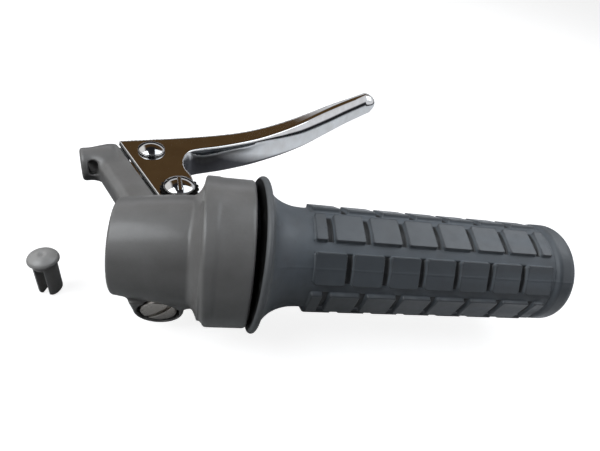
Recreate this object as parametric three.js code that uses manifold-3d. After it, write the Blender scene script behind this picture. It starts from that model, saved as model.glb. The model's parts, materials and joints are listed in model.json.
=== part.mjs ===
// Right-hand twist throttle with a front-brake lever for a 22 mm moped handlebar.
// Millimetres. +X runs outboard along the bar, +Y points forward, +Z is up.
// The origin is on the bar's axis, at the stop inside the grip's closed end where the handlebar ends.
// The sub-parts are drawn with x counted from the clamp barrel's inboard end, and the group is shifted.
import * as THREE from 'three';
import { mergeVertices } from 'three/addons/utils/BufferGeometryUtils.js';
import Module from 'manifold-3d';

const wasm = await Module();
wasm.setup();

// ---------- driving dimensions ----------
const BAR_R = 11;
const RUN_GAP = 0.3;

const BARREL_R = 15;
const BARREL_FLARE_R = 17.6;
const COVE_START = 22;
const BELL_START = 26.8;
const SAW_CUT = 24.6;
const SAW_WIDTH = 1.2;
const SAW_TOP = -11;
const BELL_R = 24;
const BELL_END = 41.1;
const BELL_CAVITY_R = 21.3;
const BELL_FLOOR = 30.4;

const PIVOT = new THREE.Vector2(16.6, 22);
const LEVER_TOP = 7;
const LEVER_HEIGHT = 12;
const LEVER_PLATE = 2;
const LEVER_BOTTOM = LEVER_TOP - LEVER_HEIGHT;
const PIVOT_EDGE_R = 4.8;
const PIVOT_SHANK_R = 3;
const PIVOT_HEAD_R = 6;
const BUSH_R = 4.6;

const ARM_BOTTOM = -2.1;
const ARM_TOP = 4.1;
const ARM_DEEP_BOTTOM = -5;
const ARM_DEEP_TOP = 5.8;
const ARM_BOSS_R = 7.3;

const CABLE_TURN = THREE.MathUtils.degToRad(17);
const CABLE_SEAT = new THREE.Vector3(-20.2, 39.6, 1);
const CABLE_BOSS_R = 6;
const CABLE_BOSS_LENGTH = 11;
const COLLAR_LENGTH = 2.2;
const COLLAR_SLOT = 3.4;
const POCKET_TILT = THREE.MathUtils.degToRad(28);
const WIRE_R = 1.5;
const SHEATH_R = 3.4;

const PIN_PLAN = new THREE.Vector2(4.05, 44.3);
const PIN_R = 4;
const PIN_HEAD_R = 4.8;
const PIN_HEAD_SEAT = LEVER_TOP + 0.5;

const LUG_TILT = THREE.MathUtils.degToRad(11);
const LUG_X = 13.6;
const LUG_DROP = 14.6;
const LUG_R = 7.8;
const LUG_ROOT_HALF = 9.6;
const LUG_FRONT = 15.3;
const LUG_BACK = -9;
const CLAMP_SLIT = 2.4;
const CLAMP_SHANK_R = 2.5;
const CLAMP_HEAD_R = 5.8;
const COUNTERBORE_R = 6.5;
const COUNTERBORE_DEPTH = 3.4;

const TUBE_BORE_R = 11.4;
const TUBE_R = 13.2;
const TUBE_END = 148.4;
const DRUM_START = 31.6;
const DRUM_END = 37.8;
const DRUM_R = 20.4;
const DRUM_GROOVE_R = 18;
const GROOVE_X = (DRUM_START + DRUM_END) / 2;

const GRIP_START = 41.6;
const GRIP_END = 151.5;
const BAR_STOP = 147.4;
const BAR_STOP_R = 10.5;
const FLANGE_R = 25.6;
const GRIP_BASE_R = 16.8;
const GROOVE_FLOOR_R = 16.5;
const BLOCK_START_R = 17.9;
const BLOCK_END_R = 17.4;
const TREAD_START = 57.7;
const TREAD_BLOCKS = 7;
const BLOCK_PITCH = 12.25;
const BLOCK_GAP = 2.1;
const BLOCK_ROWS = 8;
const ROW_OFFSET = THREE.MathUtils.degToRad(146);
const ROW_GAP_WIDTH = 3.4;
const TREAD_END = TREAD_START + TREAD_BLOCKS * BLOCK_PITCH - BLOCK_GAP;

const THROTTLE_BOSS_R = 5;
const THROTTLE_BOSS_END = -20;
const ADJUSTER_GRIP = 6;
const ADJUSTER_R = 3;
const ADJUSTER_HEAD_R = 4.8;
const ADJUSTER_END = -30;

const PLUG_BASE = new THREE.Vector3(-25.4, 6.3, -30);
const PLUG_HEIGHT = 17.7;
const PLUG_HEAD_R = 4.9;
const PLUG_BODY_R = 3.8;

const FINE = 40;
const MEDIUM = 20;
const SMALL = 12;

// ---------- helpers ----------
const toSolid = (geometry) => {
  geometry.deleteAttribute('normal');
  geometry.deleteAttribute('uv');
  const merged = mergeVertices(geometry, 1e-4);
  const points = merged.attributes.position.array;
  const index = Uint32Array.from(merged.index.array);
  let volume = 0;
  const corner = [new THREE.Vector3(), new THREE.Vector3(), new THREE.Vector3()];
  for (let i = 0; i < index.length; i += 3) {
    corner.forEach((v, k) => v.fromArray(points, 3 * index[i + k]));
    volume += corner[0].dot(corner[1].cross(corner[2]));
  }
  if (volume < 0) {
    for (let i = 0; i < index.length; i += 3) {
      [index[i], index[i + 1]] = [index[i + 1], index[i]];
    }
  }
  const mesh = new wasm.Mesh({
    numProp: 3,
    vertProperties: new Float32Array(points),
    triVerts: index,
  });
  return new wasm.Manifold(mesh);
};

const joined = (solids) => solids.reduce((a, b) => a.add(b));
const cut = (solid, tools) => tools.reduce((a, b) => a.subtract(b), solid);

// A ring or shaft turned about the bar's axis; profile points are [x, radius].
const turned = (profile, segments = FINE) => {
  const points = profile.map(([x, r]) => new THREE.Vector2(r, x));
  const geometry = new THREE.LatheGeometry([...points, points[0]], segments);
  return toSolid(geometry.rotateZ(-Math.PI / 2));
};

const ring = (x0, x1, inner, outer, segments = FINE) =>
  turned([[x0, inner], [x1, inner], [x1, outer], [x0, outer]], segments);

// A round shaft from one point towards another.
const rod = (from, to, radius, segments = MEDIUM, endRadius = radius) => {
  const axis = new THREE.Vector3().subVectors(to, from);
  const geometry = new THREE.CylinderGeometry(endRadius, radius, axis.length(), segments);
  geometry.translate(0, axis.length() / 2, 0);
  const turn = new THREE.Quaternion().setFromUnitVectors(
    new THREE.Vector3(0, 1, 0), axis.clone().normalize());
  geometry.applyQuaternion(turn);
  return toSolid(geometry.translate(from.x, from.y, from.z));
};

const upright = (plan, z0, z1, radius, segments = MEDIUM, topRadius = radius) => rod(
  new THREE.Vector3(plan.x, plan.y, z0),
  new THREE.Vector3(plan.x, plan.y, z1),
  radius, segments, topRadius);

const block = (x0, x1, y0, y1, z0, z1) => {
  const geometry = new THREE.BoxGeometry(x1 - x0, y1 - y0, z1 - z0);
  return toSolid(geometry.translate((x0 + x1) / 2, (y0 + y1) / 2, (z0 + z1) / 2));
};

// A plate standing between two heights, with its edges bevelled.
const plate = (shape, z0, z1, bevel = 0, steps = 2) => {
  const geometry = new THREE.ExtrudeGeometry(shape, {
    depth: z1 - z0 - 2 * bevel,
    bevelEnabled: bevel > 0,
    bevelThickness: bevel,
    bevelSize: bevel,
    bevelOffset: -bevel,
    bevelSegments: steps,
    curveSegments: 6,
  });
  return toSolid(geometry.translate(0, 0, z0 + bevel));
};

const washerAt = (plan, z0, z1, outer, hole, corners = MEDIUM) =>
  upright(plan, z0, z1, outer, corners).subtract(upright(plan, z0 - 1, z1 + 1, hole, SMALL));

const hexNut = (plan, z0, z1, flatRadius, hole) =>
  washerAt(plan, z0, z1, flatRadius / Math.cos(Math.PI / 6), hole, 6);

// A low dome turned about +Z, for a screw or pin head.
const domedHead = (plan, z0, radius, edge, crown) => {
  const profile = [[0, z0], [radius, z0], [radius, z0 + edge]].map(([r, z]) => new THREE.Vector2(r, z));
  const arc = 5;
  for (let i = 1; i <= arc; i += 1) {
    const a = (i / arc) * Math.PI / 2;
    profile.push(new THREE.Vector2(i === arc ? 0 : radius * Math.cos(a), z0 + edge + crown * Math.sin(a)));
  }
  const geometry = new THREE.LatheGeometry(profile, MEDIUM);
  return toSolid(geometry.rotateX(Math.PI / 2).translate(plan.x, plan.y, 0));
};

const meshOf = (name, solid, material) => {
  const data = solid.getMesh();
  const geometry = new THREE.BufferGeometry();
  geometry.setAttribute('position', new THREE.BufferAttribute(data.vertProperties, 3));
  geometry.setIndex(new THREE.BufferAttribute(data.triVerts, 1));
  const mesh = new THREE.Mesh(geometry, material);
  mesh.name = name;
  return mesh;
};

// ---------- materials ----------
const finish = (color, metalness, roughness) =>
  new THREE.MeshStandardMaterial({ color, metalness, roughness });
const GREY_PAINT = finish(0x7d7f80, 0.1, 0.5);
const POLISHED = finish(0xd4d6d8, 1, 0.08);
const ZINC = finish(0xb9bab0, 0.9, 0.3);
const DARK_STEEL = finish(0x55585a, 0.9, 0.4);
const BRASS = finish(0xb08d4a, 0.9, 0.35);
const NYLON = finish(0xd8d4c8, 0, 0.5);
const BLACK_FELT = finish(0x141414, 0, 0.9);
const GRIP_RUBBER = finish(0x575a60, 0, 0.7);

// The throttle cable leaves the drum's groove at the front and runs straight down this line.
const adjusterPoint = (z) => new THREE.Vector3(GROOVE_X, DRUM_GROOVE_R + 1, z);

// ---------- housing: clamp barrel, bell, lever arm, clamp lug, cable bosses ----------
// A cove leads from the barrel up into the bell.
const barrelAndBell = () => turned([
  [0, 0], [0, BARREL_R - 1.2], [0.35, BARREL_R - 0.35], [1.2, BARREL_R],
  [6, BARREL_R + 1], [14, BARREL_R + 2], [COVE_START, BARREL_FLARE_R],
  [COVE_START + 2.2, BARREL_FLARE_R + 0.8], [COVE_START + 3.7, BARREL_FLARE_R + 2.6],
  [BELL_START - 0.3, BARREL_FLARE_R + 4.6], [BELL_START, BELL_R - 0.8], [BELL_START + 0.8, BELL_R],
  [BELL_END - 0.6, BELL_R], [BELL_END, BELL_R - 0.6], [BELL_END, 0],
]);

// The arm's web lies between the lever's fork plates and ends in a round boss at the pivot.
const armPlan = () => {
  const shape = new THREE.Shape();
  shape.moveTo(0, 4);
  shape.lineTo(-1.2, 15.5);
  shape.lineTo(-11.7, 33.1);
  shape.lineTo(-16, 42);
  shape.lineTo(-13, 48.4);
  shape.lineTo(-8.6, 48.2);
  shape.lineTo(-5.6, 45.2);
  shape.lineTo(-4.6, 38.5);
  shape.quadraticCurveTo(-2, 31.5, 12, 28.5);
  shape.absarc(PIVOT.x, PIVOT.y, ARM_BOSS_R, 1.9, -0.3, true);
  shape.lineTo(23, 4);
  return shape;
};

// The deep part of the arm stays inboard of the plates' edge.
const deepArmPlan = () => {
  const shape = new THREE.Shape();
  shape.moveTo(0, 4);
  shape.lineTo(-1.2, 15.5);
  shape.lineTo(-11.7, 33.1);
  shape.lineTo(-16, 42);
  shape.lineTo(-13, 48.4);
  shape.lineTo(-9.9, 48.8);
  shape.lineTo(9.3, 17.4);
  shape.lineTo(9.3, 4);
  return shape;
};

const cablePoint = (along, side = 0) => new THREE.Vector3(
  CABLE_SEAT.x + along * Math.cos(CABLE_TURN) - side * Math.sin(CABLE_TURN),
  CABLE_SEAT.y + along * Math.sin(CABLE_TURN) + side * Math.cos(CABLE_TURN),
  CABLE_SEAT.z,
);

// A pocket behind the collar, open towards the rider, lets the cable be slipped into its seat.
const cableWindow = () => {
  const depth = CABLE_BOSS_R + WIRE_R + 1;
  const geometry = new THREE.BoxGeometry(COLLAR_SLOT, depth, COLLAR_SLOT + 2);
  geometry.translate(COLLAR_LENGTH + COLLAR_SLOT / 2, WIRE_R - depth / 2, 0);
  geometry.rotateX(-POCKET_TILT);
  geometry.rotateZ(CABLE_TURN);
  return toSolid(geometry.translate(CABLE_SEAT.x, CABLE_SEAT.y, CABLE_SEAT.z));
};

// A point on the lug: distance across the split plane, then drop below the bar's axis.
const lugPoint = (across, drop) => new THREE.Vector3(
  LUG_X,
  drop * Math.sin(LUG_TILT) - across * Math.cos(LUG_TILT),
  -drop * Math.cos(LUG_TILT) - across * Math.sin(LUG_TILT),
);

// The lug hangs from the barrel as a rounded pair of cheeks around the clamp screw.
const clampLug = () => {
  const edge = 0.8;
  const shape = new THREE.Shape();
  shape.moveTo(-LUG_ROOT_HALF, -BAR_R - 1);
  shape.absarc(0, -LUG_DROP, LUG_R, Math.PI + 0.1, 2 * Math.PI - 0.1, false);
  shape.lineTo(LUG_ROOT_HALF, -BAR_R - 1);
  const geometry = new THREE.ExtrudeGeometry(shape, {
    depth: LUG_FRONT - LUG_BACK - 2 * edge,
    bevelThickness: edge,
    bevelSize: edge,
    bevelOffset: -edge,
    bevelSegments: 1,
    curveSegments: 8,
  });
  geometry.translate(0, 0, LUG_BACK + edge);
  geometry.rotateX(Math.PI / 2 + LUG_TILT);
  return toSolid(geometry.translate(LUG_X, 0, 0));
};

// The lug is slit along the barrel, and a cross cut under the barrel's end lets its two cheeks close.
const housing = () => {
  const body = joined([
    barrelAndBell(),
    plate(armPlan(), ARM_BOTTOM, ARM_TOP, 0.6, 1),
    plate(deepArmPlan(), ARM_DEEP_BOTTOM, ARM_DEEP_TOP, 1.2, 2),
    rod(cablePoint(0), cablePoint(CABLE_BOSS_LENGTH), CABLE_BOSS_R),
    clampLug(),
    rod(adjusterPoint(0), adjusterPoint(THROTTLE_BOSS_END), THROTTLE_BOSS_R),
  ]);
  const slit = block(-1, SAW_CUT + SAW_WIDTH, -CLAMP_SLIT / 2, CLAMP_SLIT / 2, -40, 2 - BAR_R);
  const bossEnd = adjusterPoint(THROTTLE_BOSS_END - 1);
  const screwTop = lugPoint(LUG_FRONT + 2, LUG_DROP);
  return cut(body, [
    rod(new THREE.Vector3(-1, 0, 0), new THREE.Vector3(BELL_FLOOR + 1, 0, 0), BAR_R + 0.1, FINE),
    rod(new THREE.Vector3(BELL_FLOOR, 0, 0), new THREE.Vector3(BELL_END + 1, 0, 0), BELL_CAVITY_R, FINE),
    ring(38.5, 39.7, 15, BELL_CAVITY_R + 0.9),
    upright(PIVOT, ARM_BOTTOM - 2, ARM_TOP + 2, BUSH_R + RUN_GAP),
    rod(cablePoint(-2), cablePoint(24), WIRE_R, SMALL),
    rod(cablePoint(-2), cablePoint(1), SHEATH_R, SMALL),
    cableWindow(),
    slit.rotate([THREE.MathUtils.radToDeg(LUG_TILT), 0, 0]),
    block(SAW_CUT, SAW_CUT + SAW_WIDTH, -30, 30, -40, SAW_TOP),
    rod(screwTop, lugPoint(LUG_BACK - 2, LUG_DROP), CLAMP_SHANK_R + RUN_GAP),
    rod(screwTop, lugPoint(LUG_FRONT - COUNTERBORE_DEPTH, LUG_DROP), COUNTERBORE_R),
    rod(adjusterPoint(0), bossEnd, WIRE_R, SMALL),
    rod(adjusterPoint(THROTTLE_BOSS_END + ADJUSTER_GRIP + 1), bossEnd, ADJUSTER_R + RUN_GAP, SMALL),
  ]);
};

// ---------- clamp hardware, built along +Z and then laid on the lug's screw line ----------
const CENTRE = new THREE.Vector2(0, 0);

const slotted = (solid, width, z0, z1, angle) => {
  const tool = block(-9, 9, -width / 2, width / 2, z0, z1);
  return solid.subtract(tool.rotate([0, 0, angle]));
};

const clampScrew = () => {
  const seat = LUG_FRONT - COUNTERBORE_DEPTH + 1;
  const head = domedHead(CENTRE, seat, CLAMP_HEAD_R, 1.9, 0.9);
  const body = joined([head, upright(CENTRE, LUG_BACK, seat + 0.5, CLAMP_SHANK_R, SMALL)]);
  return slotted(body, 1.4, seat + 1.4, seat + 6, 45);
};

const clampWasher = () => {
  const z0 = LUG_FRONT - COUNTERBORE_DEPTH + 0.25;
  return washerAt(CENTRE, z0, z0 + 0.5, CLAMP_HEAD_R - 0.3, CLAMP_SHANK_R + RUN_GAP);
};

// ---------- brake lever ----------
// Adds a smooth stretch through plan points, as evenly spaced short edges.
const smoothThrough = (shape, plan, edges) => {
  const curve = new THREE.SplineCurve(plan.map(([x, y]) => new THREE.Vector2(x, y)));
  curve.getSpacedPoints(edges).forEach((p) => shape.lineTo(p.x, p.y));
};

const leverPlan = () => {
  const shape = new THREE.Shape();
  shape.moveTo(10.1, 17.3);
  shape.lineTo(12, PIVOT.y - PIVOT_EDGE_R);
  shape.absarc(PIVOT.x, PIVOT.y, PIVOT_EDGE_R, 1.5 * Math.PI, 2 * Math.PI, false);
  smoothThrough(shape, [
    [21, 26.5], [20.2, 31], [17.9, 35.4], [16.7, 40], [17.8, 44.8], [21.6, 47.8], [29.5, 51.4],
    [45, 60], [61.5, 72], [74.5, 85], [95, 107], [109.6, 120.5],
  ], 34);
  shape.absarc(107.6, 124.6, 4.6, -1.1, 2, false);
  smoothThrough(shape, [
    [96.2, 116.9], [83.1, 104.9], [60.4, 83.2], [41.4, 68.5], [20.9, 58.8], [-9.2, 49.1],
  ], 18);
  return shape;
};

// The head is forked: a slot between the two plates takes the arm and the cable pin.
const forkSlotPlan = () => {
  const shape = new THREE.Shape();
  shape.moveTo(-20, 65);
  shape.lineTo(-20, 5);
  shape.lineTo(34, 5);
  shape.lineTo(34, 27);
  shape.lineTo(21, 31);
  shape.lineTo(16, 35.5);
  shape.lineTo(14.2, 41);
  shape.lineTo(13.4, 48);
  shape.lineTo(12, 70);
  return shape;
};

const lever = () => cut(plate(leverPlan(), LEVER_BOTTOM, LEVER_TOP, 1.4, 2), [
  plate(forkSlotPlan(), LEVER_BOTTOM + LEVER_PLATE, LEVER_TOP - LEVER_PLATE),
  upright(PIVOT, LEVER_BOTTOM - 1, LEVER_TOP + 1, PIVOT_SHANK_R + RUN_GAP),
  upright(PIN_PLAN, LEVER_BOTTOM - 1, LEVER_TOP + 1, PIN_R + RUN_GAP),
]);

const pivotScrew = () => {
  const seat = LEVER_TOP + 1.2;
  const body = joined([
    domedHead(PIVOT, seat, PIVOT_HEAD_R, 1.2, 1.8),
    upright(PIVOT, LEVER_BOTTOM - 5, seat + 0.5, PIVOT_SHANK_R, SMALL),
  ]);
  const slot = block(-9, 9, -0.7, 0.7, seat + 1.3, seat + 6).rotate([0, 0, 20]);
  return body.subtract(slot.translate([PIVOT.x, PIVOT.y, 0]));
};

// A star lock washer: a thin disc whose rim is notched all round.
const pivotLockWasher = () => {
  const z0 = LEVER_TOP + 0.3;
  const teeth = 14;
  const shape = new THREE.Shape();
  for (let i = 0; i < 2 * teeth; i += 1) {
    const a = (i * Math.PI) / teeth;
    const r = PIVOT_HEAD_R + (i % 2 ? -0.4 : 0.5);
    shape[i ? 'lineTo' : 'moveTo'](PIVOT.x + r * Math.cos(a), PIVOT.y + r * Math.sin(a));
  }
  const hole = upright(PIVOT, z0 - 1, z0 + 2, PIVOT_SHANK_R + RUN_GAP, SMALL);
  return plate(shape, z0, z0 + 0.6).subtract(hole);
};

const pivotNut = () =>
  hexNut(PIVOT, LEVER_BOTTOM - 4.3, LEVER_BOTTOM - RUN_GAP, 5, PIVOT_SHANK_R + RUN_GAP);

const pivotBush = () => washerAt(PIVOT, ARM_BOTTOM, ARM_TOP, BUSH_R, PIVOT_SHANK_R + RUN_GAP);

// ---------- cable pin ----------
const CLIP_Z = LEVER_BOTTOM - 1.6;

const cablePin = () => {
  const grooved = joined([
    domedHead(PIN_PLAN, PIN_HEAD_SEAT, PIN_HEAD_R, 0.8, 1.7),
    upright(PIN_PLAN, LEVER_BOTTOM - 3, LEVER_TOP + 0.8, PIN_R),
  ]).subtract(washerAt(PIN_PLAN, CLIP_Z, CLIP_Z + 0.9, PIN_R + 2, PIN_R - 0.8));
  const along = new THREE.Vector3(Math.cos(CABLE_TURN), Math.sin(CABLE_TURN), 0);
  const wire = along.multiplyScalar(PIN_R + 2);
  const centre = new THREE.Vector3(PIN_PLAN.x, PIN_PLAN.y, CABLE_SEAT.z);
  return grooved.subtract(rod(centre.clone().sub(wire), centre.clone().add(wire), 1.2, SMALL));
};

const pinWasher = () =>
  washerAt(PIN_PLAN, LEVER_BOTTOM - 0.7, LEVER_BOTTOM - 0.2, PIN_R + 1.6, PIN_R + RUN_GAP);

// A spring clip: a flat ring with a mouth, seated in the pin's groove.
const pinClip = () => {
  const mouth = block(1, 9, -1.6, 1.6, CLIP_Z - 1, CLIP_Z + 2).translate([PIN_PLAN.x, PIN_PLAN.y, 0]);
  return washerAt(PIN_PLAN, CLIP_Z + 0.2, CLIP_Z + 0.7, PIN_R + 1.8, PIN_R - 0.5).subtract(mouth);
};

// ---------- throttle: tube with its cable drum, rubber grip, rings ----------
const throttleTube = () => {
  const body = turned([
    [DRUM_START, TUBE_BORE_R], [TUBE_END, TUBE_BORE_R], [TUBE_END, TUBE_R], [DRUM_END, TUBE_R],
    [DRUM_END, DRUM_R], [GROOVE_X + 1.4, DRUM_R], [GROOVE_X + 1.4, DRUM_GROOVE_R],
    [GROOVE_X - 1.4, DRUM_GROOVE_R], [GROOVE_X - 1.4, DRUM_R], [DRUM_START, DRUM_R],
  ]);
  // pocket that holds the throttle cable's nipple
  return body.subtract(block(DRUM_START - 1, GROOVE_X + 1.4, -3, 3, DRUM_R - 5.4, DRUM_R + 1));
};

const flareProfile = () => {
  const flare = new THREE.QuadraticBezierCurve(
    new THREE.Vector2(GRIP_START + 3.4, 24.4), new THREE.Vector2(GRIP_START + 5.4, 17.6),
    new THREE.Vector2(GRIP_START + 12.5, GRIP_BASE_R));
  return flare.getPoints(6).map((p) => [p.x, p.y]);
};

const gripBlank = () => turned([
  [GRIP_START, TUBE_R + RUN_GAP], [GRIP_START, FLANGE_R - 1], [GRIP_START + 0.5, FLANGE_R - 0.2],
  [GRIP_START + 1.4, FLANGE_R], [GRIP_START + 2.6, FLANGE_R - 0.3],
  ...flareProfile(),
  [TREAD_START, GRIP_BASE_R], [TREAD_START, BLOCK_START_R], [TREAD_END, BLOCK_END_R],
  [TREAD_END, GRIP_BASE_R - 0.5], [TREAD_END + 2, GRIP_BASE_R - 0.5],
  [TREAD_END + 2.4, BLOCK_END_R], [GRIP_END - 2.6, BLOCK_END_R], [GRIP_END - 0.8, BLOCK_END_R - 1],
  [GRIP_END, BLOCK_END_R - 3], [GRIP_END, 0], [BAR_STOP, 0], [BAR_STOP, BAR_STOP_R],
  [TUBE_END + 0.5, BAR_STOP_R], [TUBE_END + 0.5, TUBE_R + RUN_GAP],
]);

// The tread's cross grooves: each row of blocks is offset by half a block from its neighbours.
const crossGroove = (x, row) => {
  const half = Math.PI / BLOCK_ROWS;
  const shape = new THREE.Shape();
  shape.absarc(0, 0, BLOCK_START_R + 1, -half, half, false);
  shape.absarc(0, 0, GROOVE_FLOOR_R, half, -half, true);
  const settings = { depth: BLOCK_GAP, bevelEnabled: false, curveSegments: 2 };
  const geometry = new THREE.ExtrudeGeometry(shape, settings);
  geometry.rotateY(Math.PI / 2);
  geometry.rotateX(row * 2 * half + ROW_OFFSET + Math.PI / 2);
  return toSolid(geometry.translate(x - BLOCK_GAP / 2, 0, 0));
};

const longGroove = (row) => {
  const half = ROW_GAP_WIDTH / 2;
  const tool = block(TREAD_START - 1, TREAD_END + 1, -half, half, GROOVE_FLOOR_R, GRIP_BASE_R + 4);
  const turn = ROW_OFFSET + (row + 0.5) * (2 * Math.PI / BLOCK_ROWS) - Math.PI / 2;
  return tool.rotate([THREE.MathUtils.radToDeg(turn), 0, 0]);
};

const rubberGrip = () => {
  const tools = [];
  for (let row = 0; row < BLOCK_ROWS; row += 1) {
    tools.push(longGroove(row));
    const shift = row % 2 ? -0.5 : 0;
    for (let k = 1; k + shift < TREAD_BLOCKS; k += 1) {
      tools.push(crossGroove(TREAD_START + (k + shift) * BLOCK_PITCH - BLOCK_GAP / 2, row));
    }
  }
  return cut(gripBlank(), tools);
};

const thrustWasher = () => ring(BELL_FLOOR + RUN_GAP, DRUM_START - RUN_GAP, TUBE_BORE_R, DRUM_R - 1);
const retainingRing = () => {
  const full = ring(38.7, 39.5, 16.4, BELL_CAVITY_R + 0.5);
  return full.subtract(block(38, 40, -3, 3, 10, 25));
};
// The felt turns with the grip, just inside the bell's mouth.
const dustRing = () =>
  ring(BELL_END - 1.3, GRIP_START - 0.1, TUBE_R + RUN_GAP, BELL_CAVITY_R - RUN_GAP);

// ---------- throttle cable adjuster ----------
const throttleAdjuster = () => cut(joined([
  rod(adjusterPoint(THROTTLE_BOSS_END + ADJUSTER_GRIP), adjusterPoint(ADJUSTER_END + 5), ADJUSTER_R, SMALL),
  rod(adjusterPoint(ADJUSTER_END + 5.5), adjusterPoint(ADJUSTER_END), ADJUSTER_HEAD_R, SMALL),
]), [
  rod(adjusterPoint(THROTTLE_BOSS_END + ADJUSTER_GRIP + 1), adjusterPoint(ADJUSTER_END - 1), 1.2, SMALL),
  rod(adjusterPoint(ADJUSTER_END + 4), adjusterPoint(ADJUSTER_END - 1), 2.7, SMALL),
]);

const adjusterLockNut = () => {
  const top = THROTTLE_BOSS_END - RUN_GAP;
  return rod(adjusterPoint(top), adjusterPoint(top - 3), 5.2, 6)
    .subtract(rod(adjusterPoint(top + 1), adjusterPoint(top - 4), ADJUSTER_R + RUN_GAP, SMALL));
};

// ---------- loose split plug, standing beside the barrel ----------
const splitPlug = () => {
  const plan = new THREE.Vector2(PLUG_BASE.x, PLUG_BASE.y);
  const headZ = PLUG_BASE.z + PLUG_HEIGHT - 3.6;
  const body = joined([
    upright(plan, PLUG_BASE.z + 1, headZ + 0.5, PLUG_BODY_R),
    upright(plan, PLUG_BASE.z, PLUG_BASE.z + 1.01, PLUG_BODY_R - 0.8, MEDIUM, PLUG_BODY_R),
    domedHead(plan, headZ, PLUG_HEAD_R, 1.4, 2.2),
  ]);
  const turn = 35;
  const slot = block(-1.3, 1.3, -9, 9, PLUG_BASE.z - 1, headZ - 1.5).rotate([0, 0, turn]);
  return cut(body, [
    slot.translate([plan.x, plan.y, 0]),
    upright(plan, PLUG_BASE.z - 1, headZ - 1.5, PLUG_BODY_R - 1.3, SMALL),
  ]);
};

// ---------- assembly ----------
const clampGroup = new THREE.Group();
clampGroup.position.copy(lugPoint(0, LUG_DROP));
clampGroup.quaternion.setFromUnitVectors(
  new THREE.Vector3(0, 0, 1), lugPoint(1, 0).sub(lugPoint(0, 0)).normalize());
clampGroup.add(
  meshOf('clamp_screw', clampScrew(), ZINC),
  meshOf('clamp_washer', clampWasher(), ZINC),
);

const leverGroup = new THREE.Group();
leverGroup.add(
  meshOf('brake_lever', lever(), POLISHED),
  meshOf('pivot_screw', pivotScrew(), ZINC),
  meshOf('pivot_lock_washer', pivotLockWasher(), DARK_STEEL),
  meshOf('pivot_nut', pivotNut(), ZINC),
  meshOf('cable_pin', cablePin(), ZINC),
  meshOf('cable_pin_washer', pinWasher(), ZINC),
  meshOf('cable_pin_clip', pinClip(), DARK_STEEL),
);

const throttleGroup = new THREE.Group();
throttleGroup.add(
  meshOf('throttle_tube', throttleTube(), NYLON),
  meshOf('rubber_grip', rubberGrip(), GRIP_RUBBER),
  meshOf('dust_ring', dustRing(), BLACK_FELT),
);

const group = new THREE.Group();
group.position.x = -BAR_STOP;
group.add(
  meshOf('housing', housing(), GREY_PAINT),
  meshOf('lever_bush', pivotBush(), BRASS),
  meshOf('thrust_washer', thrustWasher(), NYLON),
  meshOf('retaining_ring', retainingRing(), DARK_STEEL),
  meshOf('throttle_cable_adjuster', throttleAdjuster(), ZINC),
  meshOf('adjuster_lock_nut', adjusterLockNut(), ZINC),
  meshOf('split_plug', splitPlug(), GREY_PAINT),
  clampGroup,
  leverGroup,
  throttleGroup,
);

export default group;
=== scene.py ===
import json
import math

import bpy
import numpy as np
from mathutils import Matrix, Vector


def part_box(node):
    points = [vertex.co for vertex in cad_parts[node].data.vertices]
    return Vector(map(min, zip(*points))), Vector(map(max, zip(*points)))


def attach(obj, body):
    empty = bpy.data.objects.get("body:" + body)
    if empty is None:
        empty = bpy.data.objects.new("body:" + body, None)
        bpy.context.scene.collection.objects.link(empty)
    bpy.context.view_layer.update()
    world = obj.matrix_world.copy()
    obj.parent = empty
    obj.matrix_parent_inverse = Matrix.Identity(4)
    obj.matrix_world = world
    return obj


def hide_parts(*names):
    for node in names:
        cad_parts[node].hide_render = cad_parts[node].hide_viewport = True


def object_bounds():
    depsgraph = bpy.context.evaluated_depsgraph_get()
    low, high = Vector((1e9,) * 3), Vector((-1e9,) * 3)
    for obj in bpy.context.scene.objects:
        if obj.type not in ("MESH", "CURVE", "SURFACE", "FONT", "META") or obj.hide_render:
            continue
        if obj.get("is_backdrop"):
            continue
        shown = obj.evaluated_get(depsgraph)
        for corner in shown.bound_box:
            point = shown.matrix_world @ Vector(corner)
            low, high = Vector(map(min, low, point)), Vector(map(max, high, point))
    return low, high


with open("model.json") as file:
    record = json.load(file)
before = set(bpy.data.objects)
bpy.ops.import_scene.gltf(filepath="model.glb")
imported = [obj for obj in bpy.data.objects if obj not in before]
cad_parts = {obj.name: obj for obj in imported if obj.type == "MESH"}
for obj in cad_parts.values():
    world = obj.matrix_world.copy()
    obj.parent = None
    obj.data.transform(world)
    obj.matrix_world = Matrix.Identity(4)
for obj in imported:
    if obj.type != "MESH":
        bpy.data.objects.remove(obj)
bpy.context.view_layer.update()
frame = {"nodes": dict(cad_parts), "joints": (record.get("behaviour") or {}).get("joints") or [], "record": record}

# Lengths are millimetres, with x counted from the clamp barrel's inboard end, until a mesh is made.
MM = 0.001
START = Vector((
    next(m["pos_m"][0] for m in frame["record"]["mounts"] if m["name"] == "clamp_end_face"), 0, 0,
)) / MM


def span(node):
    """Lowest and highest corner of a CAD node."""
    low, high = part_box(node)
    return low / MM - START, high / MM - START


def joint_plan(name):
    """Where an upright joint's axis stands, seen from above."""
    place = Vector(next(j["pos_m"] for j in frame["joints"] if j["name"] == name)) / MM - START
    return place.x, place.y


# ---------------------------------------------------------------- mesh helpers

def add_mesh(name, points, faces, slot, body, *nodes):
    """A smooth-shaded piece made from points in millimetres, riding on a body in place of CAD nodes."""
    mesh = bpy.data.meshes.new(name)
    mesh.from_pydata(((np.asarray(points) + np.array(START)) * MM).tolist(), [], faces)
    mesh.update()
    mesh.polygons.foreach_set("use_smooth", [True] * len(mesh.polygons))
    piece = bpy.data.objects.new(name, mesh)
    bpy.context.scene.collection.objects.link(piece)
    piece.data.materials.append(MATERIALS[slot])
    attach(piece, body)
    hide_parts(*nodes)
    return piece


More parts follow.
